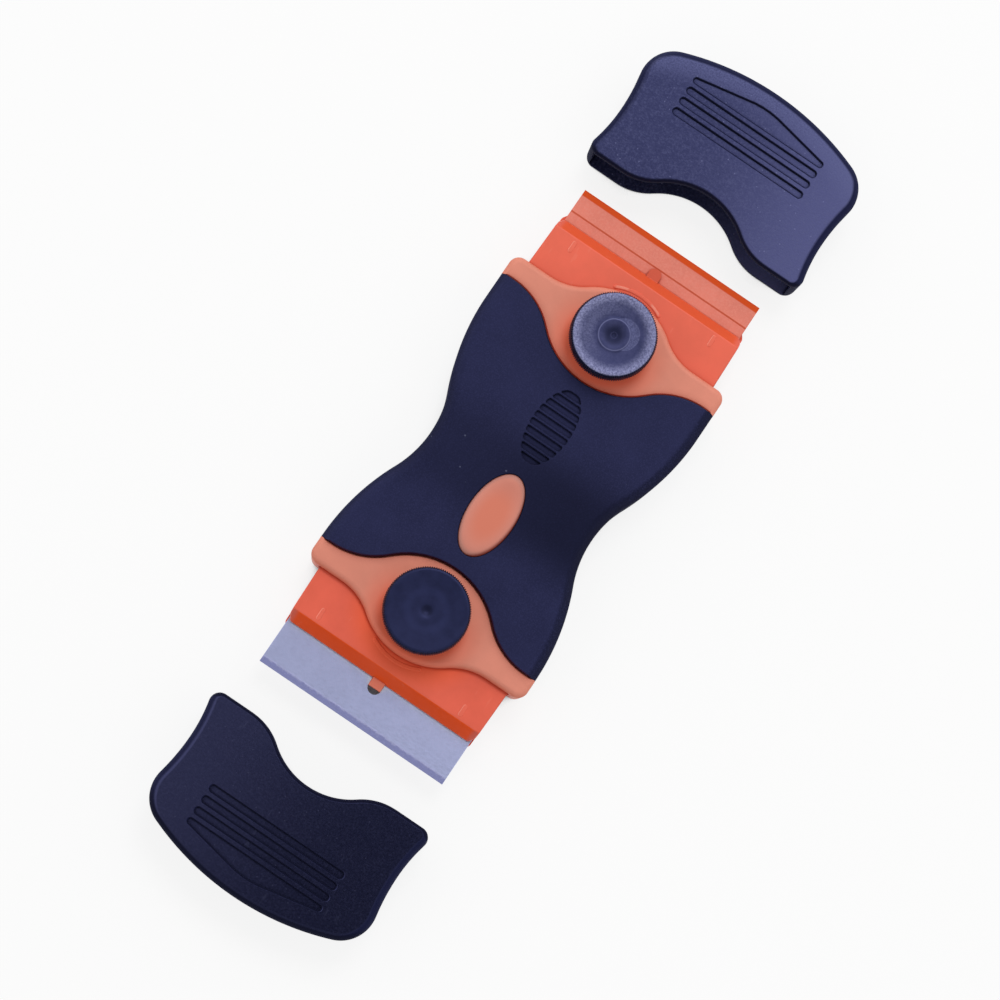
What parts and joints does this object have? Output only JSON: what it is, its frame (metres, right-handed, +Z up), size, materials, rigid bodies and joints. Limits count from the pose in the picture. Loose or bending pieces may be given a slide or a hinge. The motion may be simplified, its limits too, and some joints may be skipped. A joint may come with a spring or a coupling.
{
  "type": "razor blade scraper",
  "caption": "Double-ended hand scraper with a waisted soft-grip handle, a clamped plastic blade at one end, a steel blade at the other, thumb knobs and pull-off blade caps.",
  "frame": {"origin": "middle of the handle's underside, on the plane that the handle and the caps rest on", "axes": "+Y along the handle toward the plastic blade, +Z up toward the knobs, +X across the handle"},
  "size_m": [0.0456, 0.1733, 0.0175],
  "materials": {
    "peach_plastic": "satin moulded plastic",
    "navy_rubber": "matte soft-touch rubber",
    "orange_plastic": "satin moulded plastic",
    "blade_plastic": "satin moulded plastic",
    "blade_steel": "ground blade steel",
    "plated_steel": "zinc plated",
    "insert_brass": "turned brass",
    "navy_plastic": "satin moulded plastic",
    "cap_plastic": "lightly spark-textured plastic"
  },
  "bodies": {
    "handle": {"handle_core": "peach_plastic", "grip_sleeve": "navy_rubber", "plastic_clamp_bolt": "plated_steel", "steel_clamp_bolt": "plated_steel"},
    "plastic_head": {"plastic_upper_jaw": "orange_plastic", "plastic_lower_jaw": "orange_plastic", "plastic_blade": "blade_plastic"},
    "steel_head": {"steel_upper_jaw": "orange_plastic", "steel_lower_jaw": "orange_plastic", "steel_blade": "blade_steel"},
    "plastic_blade_cap": {"plastic_cap": "cap_plastic"},
    "steel_blade_cap": {"steel_cap": "cap_plastic"},
    "plastic_clamp_washer": {"plastic_washer": "plated_steel"},
    "steel_clamp_washer": {"steel_washer": "plated_steel"},
    "plastic_clamp_knob": {"plastic_knob": "navy_plastic", "plastic_knob_insert": "insert_brass"},
    "steel_clamp_knob": {"steel_knob": "navy_plastic", "steel_knob_insert": "insert_brass"}
  },
  "joints": [
    {"name": "plastic_head_slide", "type": "slide", "parent": "handle", "child": "plastic_head", "axis": [0, 1, 0], "range_m": [0, 0.016]},
    {"name": "steel_head_slide", "type": "slide", "parent": "handle", "child": "steel_head", "axis": [0, -1, 0], "range_m": [0, 0.016]},
    {"name": "plastic_cap_slide", "type": "slide", "parent": "plastic_head", "child": "plastic_blade_cap", "axis": [0, -1, 0], "range_m": [0, 0.0228]},
    {"name": "steel_cap_slide", "type": "slide", "parent": "steel_head", "child": "steel_blade_cap", "axis": [0, 1, 0], "range_m": [0, 0.0275]},
    {"name": "plastic_washer_lift", "type": "slide", "parent": "handle", "child": "plastic_clamp_washer", "axis": [0, 0, 1], "range_m": [0, 0.00175]},
    {"name": "plastic_knob_turn", "type": "hinge", "parent": "plastic_clamp_washer", "child": "plastic_clamp_knob", "pos_m": [0, 0.0294, 0.0125], "axis": [0, 0, 1], "range_deg": [0, 900]},
    {"name": "steel_washer_lift", "type": "slide", "parent": "handle", "child": "steel_clamp_washer", "axis": [0, 0, 1], "range_m": [0, 0.00175]},
    {"name": "steel_knob_turn", "type": "hinge", "parent": "steel_clamp_washer", "child": "steel_clamp_knob", "pos_m": [0, -0.0294, 0.0125], "axis": [0, 0, 1], "range_deg": [0, 900]}
  ],
  "couplings": [
    {"joint": "plastic_knob_turn", "follows": "plastic_washer_lift", "rad_per_m": 8975.9},
    {"joint": "steel_knob_turn", "follows": "steel_washer_lift", "rad_per_m": 8975.9}
  ]
}
